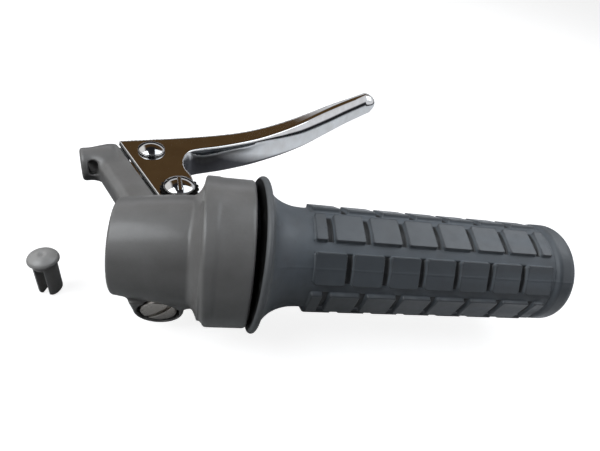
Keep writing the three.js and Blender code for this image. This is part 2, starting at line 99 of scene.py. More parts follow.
def slope(field, p, reach=0.01):
    """The gradient of a field at points p, one row each."""
    columns = []
    for axis in range(3):
        ahead, behind = p.copy(), p.copy()
        ahead[:, axis] += reach
        behind[:, axis] -= reach
        columns.append((field(*ahead.T) - field(*behind.T)) / (2 * reach))
    return np.stack(columns, axis=1)


def skin(field, low, high, step):
    """Points and quads of the closed surface where a field is zero, found cell by cell on a grid."""
    low = np.array(low, float)
    counts = [int(math.ceil((h - l) / step)) + 1 for l, h in zip(low, high)]
    axes = [l + step * np.arange(n) for l, n in zip(low, counts)]
    value = field(*np.meshgrid(*axes, indexing="ij", sparse=True))
    inside = value < 0
    corners = sum(
        inside[i:counts[0] - 1 + i, j:counts[1] - 1 + j, k:counts[2] - 1 + k].astype(np.int8)
        for i in (0, 1) for j in (0, 1) for k in (0, 1)
    )
    mixed = (corners > 0) & (corners < 8)
    cells = np.argwhere(mixed)
    total, hits = np.zeros(cells.shape), np.zeros(len(cells))
    for axis in range(3):
        along = np.eye(3, dtype=int)[axis]
        for i in (0, 1):
            for j in (0, 1):
                start = np.roll([0, i, j], axis)
                a = value[tuple((cells + start).T)]
                b = value[tuple((cells + start + along).T)]
                crossed = (a < 0) != (b < 0)
                share = np.where(crossed, a / np.where(crossed, a - b, 1), 0)
                total += (start + share[:, None] * along) * crossed[:, None]
                hits += crossed
    points = low + step * (cells + total / hits[:, None])
    for _ in range(2):
        gradient = slope(field, points)
        size = np.maximum((gradient ** 2).sum(1), 0.2)
        move = -(field(*points.T) / size)[:, None] * gradient
        points += np.clip(move, -step / 2, step / 2)
    number = np.full(mixed.shape, -1)
    number[mixed] = np.arange(len(cells))
    faces = []
    for axis in range(3):
        first, second = np.roll(np.eye(3, dtype=int), -1 - axis, axis=0)[:2]
        ends = [slice(None)] * 3
        ends[axis] = slice(0, -1)
        nexts = [slice(None)] * 3
        nexts[axis] = slice(1, None)
        low_in, high_in = inside[tuple(ends)], inside[tuple(nexts)]
        at = np.argwhere(low_in != high_in)
        quad = np.stack([
            number[tuple((at - i * first - j * second).T)] for i, j in ((0, 0), (1, 0), (1, 1), (0, 1))
        ], axis=1)
        outward = low_in[tuple(at.T)]
        faces += quad[outward].tolist() + quad[~outward][:, ::-1].tolist()
    return points, faces


def smooth_max(a, b, k):
    """The larger of two fields, with the edge between them rounded over about k."""
    near = np.maximum(k - np.abs(a - b), 0) / k
    return np.maximum(a, b) + near * near * k / 4


def smooth_min(a, b, k):
    return -smooth_max(-a, -b, k)


def outline_distance(x, y, outline):
    """Signed distance in the plane to a closed outline, negative inside."""
    nearest, inside = np.inf, False
    for (ax, ay), (bx, by) in zip(outline, outline[1:] + outline[:1]):
        ex, ey = bx - ax, by - ay
        share = np.clip(((x - ax) * ex + (y - ay) * ey) / (ex * ex + ey * ey), 0, 1)
        nearest = np.minimum(nearest, (x - ax - ex * share) ** 2 + (y - ay - ey * share) ** 2)
        straddles = (ay <= y) != (by <= y)
        inside = inside ^ (straddles & (x < ax + (y - ay) * ex / (ey if ey else 1)))
    return np.where(inside, -1, 1) * np.sqrt(nearest)


def rod_distance(x, y, z, start, end, radius, edge=0.5):
    """A round rod between two points, with its end edges rounded."""
    start, end = Vector(start), Vector(end)
    middle, half = (start + end) / 2, (end - start).length / 2
    ax, ay, az = (end - start).normalized()
    dx, dy, dz = x - middle.x, y - middle.y, z - middle.z
    along = dx * ax + dy * ay + dz * az
    across = np.sqrt(np.maximum(dx * dx + dy * dy + dz * dz - along * along, 0))
    return smooth_max(across - radius, np.abs(along) - half, edge)


def curve_through(points, count):
    """Evenly numbered points on a smooth curve through plan points."""
    p = [points[0]] + list(points) + [points[-1]]
    made = []
    for t in np.linspace(0, len(points) - 1, count):
        i = min(int(t), len(points) - 2)
        u = t - i
        a, b, c, d = (np.array(q, float) for q in p[i:i + 4])
        square, cube = 2 * a - 5 * b + 4 * c - d, 3 * b - a - 3 * c + d
        q = 0.5 * (2 * b + (c - a) * u + square * u ** 2 + cube * u ** 3)
        made.append((float(q[0]), float(q[1])))
    return made


def arc(centre, radius, start, end, count):
    return [
        (centre[0] + radius * math.cos(a), centre[1] + radius * math.sin(a))
        for a in np.linspace(start, end, count)
    ]


def ease(value, low, high):
    """0 below low, 1 above high and smooth in between."""
    t = np.clip((value - low) / (high - low), 0, 1)
    return t * t * (3 - 2 * t)


# ---------------------------------------------------------------- materials

# A mix node has sockets of every type; these two take its colours.
COLOUR_SOCKETS = (6, 7)


class Finish:
    """A node material whose parts are added one by one."""

    def __init__(self, name, **values):
        self.material = bpy.data.materials.new(name)
        self.material.use_nodes = True
        self.tree = self.material.node_tree
        self.shader = self.tree.nodes["Principled BSDF"]
        for key, value in values.items():
            self.shader.inputs[key.replace("_", " ").title().replace("Ior", "IOR")].default_value = value
        self.place = self.node("ShaderNodeTexCoord").outputs["Object"]

    def node(self, kind, **links):
        made = self.tree.nodes.new(kind)
        for key, value in links.items():
            socket = made.inputs[key.replace("_", " ")]
            self.join(value, socket)
        return made

    def join(self, value, socket):
        if isinstance(value, bpy.types.NodeSocket):
            self.tree.links.new(value, socket)
        else:
            socket.default_value = value

    def stretched(self, x, y, z):
        return self.node("ShaderNodeMapping", Vector=self.place, Scale=(x, y, z)).outputs["Vector"]

    def noise(self, size_mm, detail=4.0, rough=0.55, place=None):
        """Cloudy noise whose patches are about size_mm across."""
        made = self.node(
            "ShaderNodeTexNoise", Vector=place or self.place,
            Scale=1 / (size_mm * MM), Detail=detail, Roughness=rough,
        )
        return made.outputs["Fac"]

    def cells(self, size_mm):
        made = self.node("ShaderNodeTexVoronoi", Vector=self.place, Scale=1 / (size_mm * MM))
        return made.outputs["Distance"]

    def shift(self, value, low, high, to_low=0.0, to_high=1.0):
        """Value between low and high, mapped to the new range and held inside it."""
        made = self.node("ShaderNodeMapRange", Value=value)
        for key, number in zip(("From Min", "From Max", "To Min", "To Max"), (low, high, to_low, to_high)):
            made.inputs[key].default_value = number
        return made.outputs["Result"]

    def mix(self, share, a, b):
        made = self.node("ShaderNodeMix")
        made.data_type = "RGBA"
        self.join(share, made.inputs["Factor"])
        for value, socket in zip((a, b), COLOUR_SOCKETS):
            self.join(value, made.inputs[socket])
        return made.outputs[2]

    def maths(self, operation, a, b):
        made = self.tree.nodes.new("ShaderNodeMath")
        made.operation = operation
        self.join(a, made.inputs[0])
        self.join(b, made.inputs[1])
        return made.outputs[0]

    def edges(self, low=0.5, high=0.6):
        """1 on worn outer edges and 0 on flat faces."""
        return self.shift(self.node("ShaderNodeNewGeometry").outputs["Pointiness"], low, high)

    def hollows(self, low=0.4, high=0.49):
        """1 in creases and 0 on flat faces; the materials paint shade into the creases with it."""
        return self.shift(self.node("ShaderNodeNewGeometry").outputs["Pointiness"], low, high, 1.0, 0.0)

    def colour(self, value):
        self.join(value, self.shader.inputs["Base Color"])

    def roughness(self, value):
        self.join(value, self.shader.inputs["Roughness"])

    def bump(self, height, depth_mm, strength=1.0):
        """Adds a fine relief on top of the reliefs added before it."""
        made = self.node("ShaderNodeBump", Height=height, Strength=strength, Distance=depth_mm * MM)
        before = self.shader.inputs["Normal"]
        if before.is_linked:
            self.tree.links.new(before.links[0].from_socket, made.inputs["Normal"])
        self.join(made.outputs["Normal"], before)


def tone(level, warm=0.0):
    """A near-grey colour from an 8-bit screen level; warm above 0 leans to brown, below 0 to blue."""
    parts = [level * (1 + warm), level, level * (1 - warm)]
    return tuple((min(p, 255) / 255) ** 2.2 for p in parts) + (1.0,)


def grey_paint(name, level):
    """Satin grey enamel over a sand casting: slight orange peel, rubbed edges, painted shade in the creases."""
    f = Finish(name, specular_ior_level=0.3, coat_weight=0.5, coat_roughness=0.24)
    cloud = f.shift(f.noise(9, 5), 0.3, 0.7)
    base = f.mix(cloud, tone(level, 0.012), tone(level * 1.1, 0.008))
    speck = f.shift(f.noise(0.35, 2), 0.62, 0.72)
    base = f.mix(f.maths("MULTIPLY", speck, 0.18), base, tone(level * 1.25))
    # painted shade: the creases are darkened to stand for the shade that falls in them
    base = f.mix(f.maths("MULTIPLY", f.hollows(), 0.45), base, tone(72, 0.03))
    rubbed = f.maths("MULTIPLY", f.edges(0.53, 0.62), f.shift(f.noise(2.2, 4), 0.42, 0.6))
    f.colour(f.mix(f.maths("MULTIPLY", rubbed, 0.6), base, tone(level * 1.45)))
    f.roughness(f.shift(f.noise(3.5, 4), 0.3, 0.7, 0.34, 0.48))
    f.bump(f.noise(1.1, 3), 0.05)
    f.bump(f.noise(0.28, 2), 0.012)
    return f.material


def brushed(name, level, warm, rough, stretch=(1, 1, 1), scratch=0.004):
    """Metal with fine scratches, cloudy handling marks and painted shade in the creases."""
    f = Finish(name, metallic=1.0)
    cloud = f.shift(f.noise(6, 5), 0.35, 0.7)
    base = f.mix(cloud, tone(level, warm), tone(level * 0.93, warm + 0.01))
    # painted shade: the creases are darkened to stand for the shade that falls in them
    f.colour(f.mix(f.maths("MULTIPLY", f.hollows(), 0.6), base, tone(level * 0.4, 0.05)))
    f.roughness(f.shift(f.noise(4, 6), 0.35, 0.75, rough, rough * 1.7 + 0.03))
    f.bump(f.noise(0.5, 6, 0.7, f.stretched(*stretch)), scratch)
    f.bump(f.noise(12, 1), scratch * 4)
    return f.material


def grip_rubber():
    """Moulded rubber: blue-black, glossier on the blocks, dusty in the grooves, with painted shadow in the cross
    cuts and on the flange's face towards the bell, and painted shade in the creases.
    """
    f = Finish("grip_rubber", specular_ior_level=0.6)
    spin = f.node("ShaderNodeVectorMath", Vector=f.stretched(0, 1, 1))
    spin.operation = "LENGTH"
    radius = spin.outputs["Value"]
    along = f.node("ShaderNodeSeparateXYZ", Vector=f.place).outputs["X"]
    on_tread = f.shift(along, (START.x + 56) * MM, (START.x + 57) * MM)
    raised = f.shift(radius, 17.0 * MM, 17.4 * MM)
    inside_rim = f.shift(radius, 18.3 * MM, 18.8 * MM, 1.0, 0.0)
    polished = f.maths("MULTIPLY", f.maths("MULTIPLY", raised, inside_rim), on_tread)
    cloud = f.shift(f.noise(14, 5), 0.3, 0.7)
    dull = f.mix(cloud, tone(96, -0.05), tone(108, -0.06))
    glossy = f.mix(cloud, tone(84, -0.05), tone(94, -0.05))
    base = f.mix(polished, dull, glossy)
    # painted shadow: the cross cuts between the blocks are coloured near black
    painted_cut_shadow = f.shift(radius, 16.1 * MM, 16.4 * MM, 1.0, 0.0)
    base = f.mix(f.maths("MULTIPLY", painted_cut_shadow, on_tread), base, tone(34, -0.03))
    base = f.mix(f.shift(radius, 18.8 * MM, 22.5 * MM), base, tone(104, -0.02))
    normal = f.node("ShaderNodeNewGeometry").outputs["Normal"]
    facing = f.node("ShaderNodeSeparateXYZ", Vector=normal).outputs["X"]
    # painted shadow: the flange's face turned towards the bell, lying in the shaded gap, is coloured near black
    painted_flange_shadow = f.maths("MULTIPLY", f.shift(facing, -0.86, -0.97), f.shift(radius, 18.5 * MM, 19 * MM))
    base = f.mix(painted_flange_shadow, base, tone(10))
    stain = f.shift(f.noise(5, 3), 0.55, 0.75)
    base = f.mix(f.maths("MULTIPLY", stain, 0.3), base, tone(84, -0.01))
    base = f.mix(f.maths("MULTIPLY", f.edges(0.52, 0.6), 0.5), base, tone(112, -0.03))
    # painted shade: the creases are darkened to stand for the shade that falls in them
    f.colour(f.mix(f.maths("MULTIPLY", f.hollows(0.42, 0.49), 0.5), base, tone(30, -0.05)))
    worn = f.shift(f.noise(2.5, 4), 0.3, 0.7, -0.06, 0.06)
    f.roughness(f.maths("ADD", f.shift(polished, 0, 1, 0.5, 0.36), worn))
    f.bump(f.cells(0.45), 0.012)
    f.bump(f.noise(0.25, 3), 0.015)
    return f.material


def moulded(name, level, warm, rough):
    """A moulded or pressed part with a dull, slightly blotchy surface and painted shade in its creases."""
    f = Finish(name, specular_ior_level=0.4)
    cloud = f.shift(f.noise(4, 4), 0.3, 0.7)
    base = f.mix(cloud, tone(level, warm), tone(level * 0.88, warm + 0.02))
    # painted shade: the creases are darkened to stand for the shade that falls in them
    f.colour(f.mix(f.maths("MULTIPLY", f.hollows(), 0.4), base, tone(level * 0.5, 0.05)))
    f.roughness(f.shift(f.noise(1.5, 3), 0.3, 0.7, rough, min(rough + 0.15, 1.0)))
    f.bump(f.noise(0.2, 3), 0.02)
    return f.material


MATERIALS = {
    "grey_paint": grey_paint("grey_paint", 114),
    "polished_aluminium": brushed("polished_aluminium", 226, -0.005, 0.035, (0.35, 1.6, 1.6), 0.0012),
    "chrome_screw": brushed("chrome_screw", 205, 0.0, 0.06, (1, 1, 1), 0.002),
    "zinc_plate": brushed("zinc_plate", 176, 0.03, 0.24, (1, 1, 0.4), 0.006),
    "dark_steel": brushed("dark_steel", 40, 0.01, 0.5, (1, 1, 1), 0.006),
    "brass": brushed("brass", 190, 0.3, 0.22, (1, 1, 0.4), 0.005),
    "ivory_nylon": moulded("ivory_nylon", 214, 0.03, 0.42),
    "black_felt": moulded("black_felt", 14, 0.0, 0.85),
    "grip_rubber": grip_rubber(),
}


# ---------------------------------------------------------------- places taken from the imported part

housing_low, housing_high = span("housing")
grip_low, grip_high = span("rubber_grip")
lever_low, lever_high = span("brake_lever")
dust_low = span("dust_ring")[0]
plug_low, plug_high = span("split_plug")
tube_high = span("throttle_tube")[1]

BAR_R = 11.1
BELL_R = housing_high.z
BELL_END = dust_low.x + 1.3
BARREL_R = 15.0
BARREL_FLARE = 2.6
BARREL_END = 24.5
COVE_START, COVE_LENGTH, COVE_RISE = 22.2, 3.8, 5.5
BELL_START = 26.7
NECK_R = 16.3
SAW_CUT, SAW_WIDTH, SAW_TOP = 24.4, 1.4, -11.0
CAVITY_R = 21.3
CAVITY_START = 30.4
PIVOT = joint_plan("lever_squeeze")
PIN = joint_plan("cable_pin_swivel")
LEVER_TOP = lever_high.z
LEVER_BOTTOM = lever_low.z
ARM_LOW, ARM_HIGH = -2.1, 4.1
ARM_DEEP_LOW, ARM_DEEP_HIGH = -5.0, 5.8
CABLE_TURN = math.radians(17)
CABLE_SEAT = Vector((-20.2, 39.6, 1.0))
POCKET_TILT = math.radians(28)
LUG_TILT = math.radians(11)
LUG_X, LUG_DROP, LUG_R = 13.6, 14.6, 7.9
LUG_FRONT, LUG_BACK = 15.3, -9.0
PAD_R = 18.9
COUNTERBORE_R, COUNTERBORE_DEPTH = 6.6, 3.4
GROOVE_X = 34.7
CABLE_LINE_Y = 19.0


def cable_point(along, side=0.0, up=0.0):
    c, s = math.cos(CABLE_TURN), math.sin(CABLE_TURN)
    return CABLE_SEAT + Vector((along * c - side * s, along * s + side * c, up))


def lug_point(across, drop):
    c, s = math.cos(LUG_TILT), math.sin(LUG_TILT)
    return Vector((LUG_X, drop * s - across * c, -drop * c - across * s))


# ---------------------------------------------------------------- housing

ARM_PLAN = (
    [(0, 4), (-1.2, 15.5), (-4.4, 21.2), (-11.7, 33.1), (-16, 42), (-15.8, 45.8), (-13.6, 49.2), (-7, 49.4)]
    + [(-4.4, 46), (-4.2, 38.5), (-1.8, 33.2), (4, 30), (12, 28.5)]
    + arc(PIVOT, 7.3, 1.9, -0.3, 14) + [(23, 4)]
)
# The deep part of the arm is cut off square beside the lever's fork, so its plan runs on past that cut.
DEEP_ARM_PLAN = [(0, 4), (-1.2, 15.5), (-4.4, 21.2), (-11.7, 33.1), (-16, 42), (-15.8, 45.8), (-13.8, 49.4),
                 (0, 53), (30, 60), (30, 4)]


def slab_distance(plan, z, low, high, edge):
    return smooth_max(plan, np.abs(z - (low + high) / 2) - (high - low) / 2, edge)


def barrel_and_bell(x, y, z, around):
    """The clamp barrel widens towards a cove that leads up into the bell."""
    barrel_r = BARREL_R + BARREL_FLARE * (1 - (1 - np.clip(x / BARREL_END, 0, 1)) ** 1.6)
    rise = COVE_RISE * ease(z, -14, -9)
    cove = rise * np.clip((x - COVE_START) / COVE_LENGTH, 0, 1) ** 2
    steep = 2 * rise * np.clip(x - COVE_START, 0, COVE_LENGTH) / COVE_LENGTH ** 2
    barrel = (around - barrel_r - cove) / np.sqrt(1 + steep ** 2)
    barrel = smooth_max(barrel, np.abs(x - 15) - 15, 0.9)
    face = BELL_START - 0.043 * (0.66 * y + 0.75 * z) - x - 0.05 * (around - BELL_R)
    bell = smooth_max(around - BELL_R, np.maximum(face, x - BELL_END), 1.3)
    return smooth_min(barrel, bell, 1.2)


def arm_and_cable_boss(x, y, z):
    arm = slab_distance(outline_distance(x, y, ARM_PLAN), z, ARM_LOW, ARM_HIGH, 1.4)
    beside_fork = (x - 9.8) * 0.853 + (y - 17.4) * 0.522
    deep = slab_distance(outline_distance(x, y, DEEP_ARM_PLAN), z, ARM_DEEP_LOW, ARM_DEEP_HIGH, 4.5)
    boss = rod_distance(x, y, z, cable_point(0), cable_point(11), 6.0, 1.4)
    deep = smooth_max(smooth_min(deep, boss, 3.0), beside_fork, 0.5)
    return smooth_min(arm, deep, 0.8)


def clamp_lug(x, y, z):
    drop = -z * math.cos(LUG_TILT) + y * math.sin(LUG_TILT)
    across = -y * math.cos(LUG_TILT) - z * math.sin(LUG_TILT)
    beside = np.abs(x - LUG_X)
    widening = 0.16 * np.maximum(LUG_DROP - drop, 0)
    round_end = np.sqrt(beside ** 2 + np.maximum(drop - LUG_DROP, 0) ** 2) - LUG_R - widening
    middle = (LUG_FRONT + LUG_BACK) / 2
    cheeks = np.abs(across - middle) - (LUG_FRONT - LUG_BACK) / 2
    lug = smooth_max(round_end, cheeks, 1.6)
    slit = smooth_max(np.abs(across) - 1.2, 9 - drop, 0.1)
    slit = smooth_max(slit, x - SAW_CUT - SAW_WIDTH / 2, 0.1)
    pad = smooth_max(np.sqrt(y * y + z * z) - PAD_R, cheeks, 0.6)
    pad = smooth_max(pad, np.abs(x - (SAW_CUT + LUG_X) / 2) - (SAW_CUT - LUG_X) / 2, 0.3)
    lug = smooth_min(smooth_max(lug, 9 - drop, 0.5), smooth_max(pad, 9 - drop, 0.5), 1.5)
    return lug, slit


def cable_pocket(x, y, z):
    """The pocket behind the collar, open forwards and up, that lets the cable slip into its seat."""
    c, s = math.cos(CABLE_TURN), math.sin(CABLE_TURN)
    along = (x - CABLE_SEAT.x) * c + (y - CABLE_SEAT.y) * s
    side = (y - CABLE_SEAT.y) * c - (x - CABLE_SEAT.x) * s
    up = z - CABLE_SEAT.z
    outward = up * math.sin(POCKET_TILT) - side * math.cos(POCKET_TILT)
    upward = up * math.cos(POCKET_TILT) + side * math.sin(POCKET_TILT)
    pocket = smooth_max(np.abs(along - 3.9) - 1.7, np.abs(outward - 3.0) - 4.5, 0.4)
    return smooth_max(pocket, np.abs(upward + 0.9) - 2.6, 1.6)


def housing_field(x, y, z):
    around = np.sqrt(y * y + z * z)
    body = smooth_min(barrel_and_bell(x, y, z, around), arm_and_cable_boss(x, y, z), 2.0)
    lug, slit = clamp_lug(x, y, z)
    body = smooth_min(body, lug, 1.8)
    spout = rod_distance(x, y, z, (GROOVE_X, CABLE_LINE_Y, 0), (GROOVE_X, CABLE_LINE_Y, -20), 5.0, 1.2)
    body = smooth_min(body, spout, 2.2)
    screw_top = lug_point(LUG_FRONT + 3, LUG_DROP)
    screw_seat = lug_point(LUG_FRONT - COUNTERBORE_DEPTH, LUG_DROP)
    spout_end = (GROOVE_X, CABLE_LINE_Y, -21)
    hollows = [
        rod_distance(x, y, z, (-3, 0, 0), (CAVITY_START + 1, 0, 0), BAR_R, 0.1),
        rod_distance(x, y, z, (CAVITY_START, 0, 0), (BELL_END + 3, 0, 0), CAVITY_R, 0.1),
        smooth_max(np.abs(around - CAVITY_R) - 0.9, np.abs(x - 39.1) - 0.6, 0.1),
        rod_distance(x, y, z, (*PIVOT, ARM_LOW - 2), (*PIVOT, ARM_HIGH + 2), 4.9, 0.1),
        rod_distance(x, y, z, cable_point(-2), cable_point(24), 1.5, 0.1),
        rod_distance(x, y, z, cable_point(-2), cable_point(1), 3.4, 0.1),
        rod_distance(x, y, z, screw_top, lug_point(LUG_BACK - 2, LUG_DROP), 2.8, 0.1),
        rod_distance(x, y, z, screw_top, screw_seat, COUNTERBORE_R, 0.2),
        rod_distance(x, y, z, (GROOVE_X, CABLE_LINE_Y, 0), spout_end, 1.5, 0.1),
        rod_distance(x, y, z, (GROOVE_X, CABLE_LINE_Y, -11), spout_end, 3.3, 0.1),
        slit,
        smooth_max(np.abs(x - SAW_CUT - SAW_WIDTH / 2) - SAW_WIDTH / 2, z - SAW_TOP, 0.1),
        smooth_max(np.maximum(SAW_CUT - x, x - SAW_CUT - 3), np.maximum(NECK_R - around, z + 8), 0.1),
        cable_pocket(x, y, z),
    ]
    for hollow in hollows:
        body = smooth_max(body, -hollow, 0.5)
    return body


def build_housing():
    low, high = housing_low - Vector((1, 1, 1)), housing_high + Vector((1, 3, 1))
    points, faces = skin(housing_field, low, high, 0.45)
    return add_mesh("housing_casting", points, faces, "grey_paint", "housing", "housing")


# ---------------------------------------------------------------- brake lever

BLADE_FRONT = [(21.3, 26), (20.2, 31), (17.7, 35.3), (16.6, 40), (17.4, 44.8), (20.4, 47.4), (29.5, 51.4),
               (38.3, 56), (45, 60), (54.4, 66.6), (61.5, 72.2), (70, 79.8), (82, 92.2), (95, 105.8),
               (109.6, 120.2)]
BLADE_BACK = [(96.2, 117.2), (83.1, 105.1), (60.4, 83.2), (41.4, 68.5), (20.9, 58.8), (-9.2, 49.1)]
FLAT_FRONT = [(21, 26), (19.7, 30.8), (17.1, 35.1), (16, 40.2), (16.9, 45.4), (20, 48.4), (28.6, 52.3),
              (37.8, 57.4), (46, 62.8), (55.4, 71), (64.6, 80.6), (74.4, 91.7), (84, 102.2), (95, 113.2),
              (106.4, 124)]
FLAT_BACK = [(106.6, 124.8), (94.5, 114.5), (82.4, 103.6), (60, 82.2), (41, 67.6), (20.8, 58.2),
             (-8.2, 48.7)]
FORK_WALL = [(34, 27), (21, 31), (16, 35.5), (14.2, 41), (13.4, 48), (12, 70)]
TIP = (109.0, 124.0, 1.6)
LEVER_PLAN = (
    [(10.1, 17.3), (12, 17.2)] + arc(PIVOT, 4.8, -math.pi / 2, 0, 9) + curve_through(BLADE_FRONT, 60)
    + arc((107.6, 124.6), 4.6, -1.0, 2.0, 12) + curve_through(BLADE_BACK, 34)
)
FLAT_PLAN = (
    [(10.4, 17.9), (12, 17.8)] + arc(PIVOT, 4.3, -math.pi / 2, -0.1, 9)
    + curve_through(FLAT_FRONT, 54) + curve_through(FLAT_BACK, 34)
)
FORK_PLAN = [(-20, 65), (-20, 5), (34, 5)] + curve_through(FORK_WALL, 20)


def lever_field(x, y, z):
    """The lever's top is flat; a quarter ellipse runs from the flat's edge down to the outer outline."""
    outer = outline_distance(x, y, LEVER_PLAN)
    along = (x * 0.75 + y * 0.66) - 40
    flat = outline_distance(x, y, FLAT_PLAN)
    bottom = LEVER_BOTTOM + 1.5 * ease(along, 0, 110)
    height = LEVER_TOP - bottom - 1.2
    band = np.clip(flat - outer, 0.45, 9.0)
    u = np.maximum(1 + outer / band, 0)
    v = np.maximum(1 + (z - LEVER_TOP) / height, 0)
    body = (np.sqrt(u ** 2 + v ** 2) - 1) * np.minimum(height, np.maximum(band, 1.0))
    body = np.where(u <= 0, z - LEVER_TOP, body)
    body = smooth_max(body, bottom - z, 1.8)
    knob = np.sqrt((x - TIP[0]) ** 2 + (y - TIP[1]) ** 2 + (z - TIP[2]) ** 2) - 4.4
    body = smooth_min(body, knob, 1.5)
    slot = slab_distance(outline_distance(x, y, FORK_PLAN), z, LEVER_BOTTOM + 2, LEVER_TOP - 2, 0.3)
    body = smooth_max(body, -slot, 0.3)
    for centre, radius in ((PIVOT, 3.3), (PIN, 4.3)):
        hole = rod_distance(x, y, z, (*centre, LEVER_BOTTOM - 2), (*centre, LEVER_TOP + 2), radius, 0.1)
        body = smooth_max(body, -hole, 0.3)
    return body


def build_lever():
    low, high = lever_low - Vector((1, 1, 1)), lever_high + Vector((1, 1, 1))
    points, faces = skin(lever_field, low, high, 0.4)
    return add_mesh("brake_lever_blade", points, faces, "polished_aluminium", "brake_lever", "brake_lever")


# ---------------------------------------------------------------- screws and pins

def dome_distance(x, y, z, radius, edge, crown, soft=0.4):
    """A low dome standing on z = 0 round the z axis."""
    ball = (radius * radius + crown * crown) / (2 * crown)
    cap = np.sqrt(x * x + y * y + (z - edge - crown + ball) ** 2) - ball
    rim = np.sqrt(x * x + y * y) - radius
    return smooth_max(smooth_max(cap, rim, soft), -z, 0.15)


def thread_distance(x, y, z, radius, low, high, pitch=0.8, depth=0.25):
    """A threaded shaft along z."""
    turn = np.arctan2(y, x) / (2 * math.pi)
    ridge = depth * np.abs(2 * ((z / pitch - turn) % 1.0) - 1)
    rim = (np.sqrt(x * x + y * y) - radius + ridge) * 0.8
    return smooth_max(rim, np.abs(z - (low + high) / 2) - (high - low) / 2, 0.5)


def slot_distance(x, y, z, angle, half_width, floor):
    c, s = math.cos(angle), math.sin(angle)
    return np.maximum(np.abs(y * c - x * s) - half_width, floor - z)


def pivot_screw_field(x, y, z):
    seat = LEVER_TOP + 1.2
    x, y = x - PIVOT[0], y - PIVOT[1]
    head = dome_distance(x, y, z - seat, 5.3, 0.7, 1.9, 0.35)
    head = smooth_max(head, -slot_distance(x, y, z, math.radians(100), 0.55, seat + 1.6), 0.25)
    shaft = rod_distance(x, y, z, (0, 0, LEVER_BOTTOM), (0, 0, seat + 0.5), 3.0, 0.1)
    thread = thread_distance(x, y, z, 3.0, LEVER_BOTTOM - 5, LEVER_BOTTOM + 1)
    return np.minimum(np.minimum(head, shaft), thread)


def cable_pin_field(x, y, z):
    x, y = x - PIN[0], y - PIN[1]
    head = dome_distance(x, y, z - LEVER_TOP - 0.5, 4.8, 0.5, 1.7, 0.25)
    shaft = rod_distance(x, y, z, (0, 0, LEVER_BOTTOM - 3), (0, 0, LEVER_TOP + 0.8), 4.0, 0.8)
    neck = np.abs(z - LEVER_BOTTOM + 1.15) - 0.45
    groove = np.maximum(neck, 3.2 - np.sqrt(x * x + y * y))
    wire = rod_distance(x, y, z, (-9 * math.cos(CABLE_TURN), -9 * math.sin(CABLE_TURN), CABLE_SEAT.z),
                        (9 * math.cos(CABLE_TURN), 9 * math.sin(CABLE_TURN), CABLE_SEAT.z), 1.2, 0.1)
    body = smooth_max(np.minimum(head, shaft), -groove, 0.15)
    return smooth_max(body, -wire, 0.15)


def clamp_screw_field(x, y, z):
    seat = LUG_FRONT - COUNTERBORE_DEPTH + 1
    head = dome_distance(x, y, z - seat, 5.8, 1.9, 0.9, 0.7)
    head = smooth_max(head, -slot_distance(x, y, z, math.radians(45), 0.7, seat + 1.4), 0.25)
    shaft = rod_distance(x, y, z, (0, 0, LUG_BACK + 6), (0, 0, seat + 0.5), 2.5, 0.1)
    thread = thread_distance(x, y, z, 2.5, LUG_BACK, LUG_BACK + 7)
    return np.minimum(np.minimum(head, shaft), thread)


def lock_washer_field(x, y, z):
    x, y = x - PIVOT[0], y - PIVOT[1]
    angle, around = np.arctan2(y, x), np.sqrt(x * x + y * y)
    teeth = 20
    rim = around - 6.3 - 0.3 * np.cos(teeth * angle)
    twist = 0.16 * np.sin(teeth * angle) * ease(around, 4.6, 6.0)
    disc = smooth_max(rim * 0.7, np.abs(z - LEVER_TOP - 0.6 - twist) - 0.28, 0.15)
    return smooth_max(disc, 3.3 - around, 0.15)


def build_screws():
    reach = Vector((7, 7, 0))
    low, high = Vector((*PIVOT, LEVER_BOTTOM - 5.5)), Vector((*PIVOT, LEVER_TOP + 4.8))
    points, faces = skin(pivot_screw_field, low - reach, high + reach, 0.16)
    add_mesh("pivot_screw_body", points, faces, "chrome_screw", "brake_lever", "pivot_screw")
    # the star washer is black-oxide steel, made dark also so that it stands in for the shadow gap round the screw
    # head
    low, high = Vector((*PIVOT, LEVER_TOP - 0.2)), Vector((*PIVOT, LEVER_TOP + 1.4))
    points, faces = skin(lock_washer_field, low - reach, high + reach, 0.13)
    add_mesh("star_washer", points, faces, "dark_steel", "brake_lever", "pivot_lock_washer")
    low, high = Vector((*PIN, LEVER_BOTTOM - 3.5)), Vector((*PIN, LEVER_TOP + 3.6))
    points, faces = skin(cable_pin_field, low - reach, high + reach, 0.18)
    add_mesh("cable_pin_body", points, faces, "chrome_screw", "cable_pin", "cable_pin")
    points, faces = skin(clamp_screw_field, (-6.6, -6.6, LUG_BACK - 0.5), (6.6, 6.6, LUG_FRONT + 2), 0.17)
    axis = (lug_point(1, 0) - lug_point(0, 0)).normalized()
    turn = Vector((0, 0, 1)).rotation_difference(axis).to_matrix()
    points = points @ np.array(turn).T + np.array(lug_point(0, LUG_DROP))
    add_mesh("clamp_screw_body", points, faces, "zinc_plate", "housing", "clamp_screw")


# ---------------------------------------------------------------- split plug

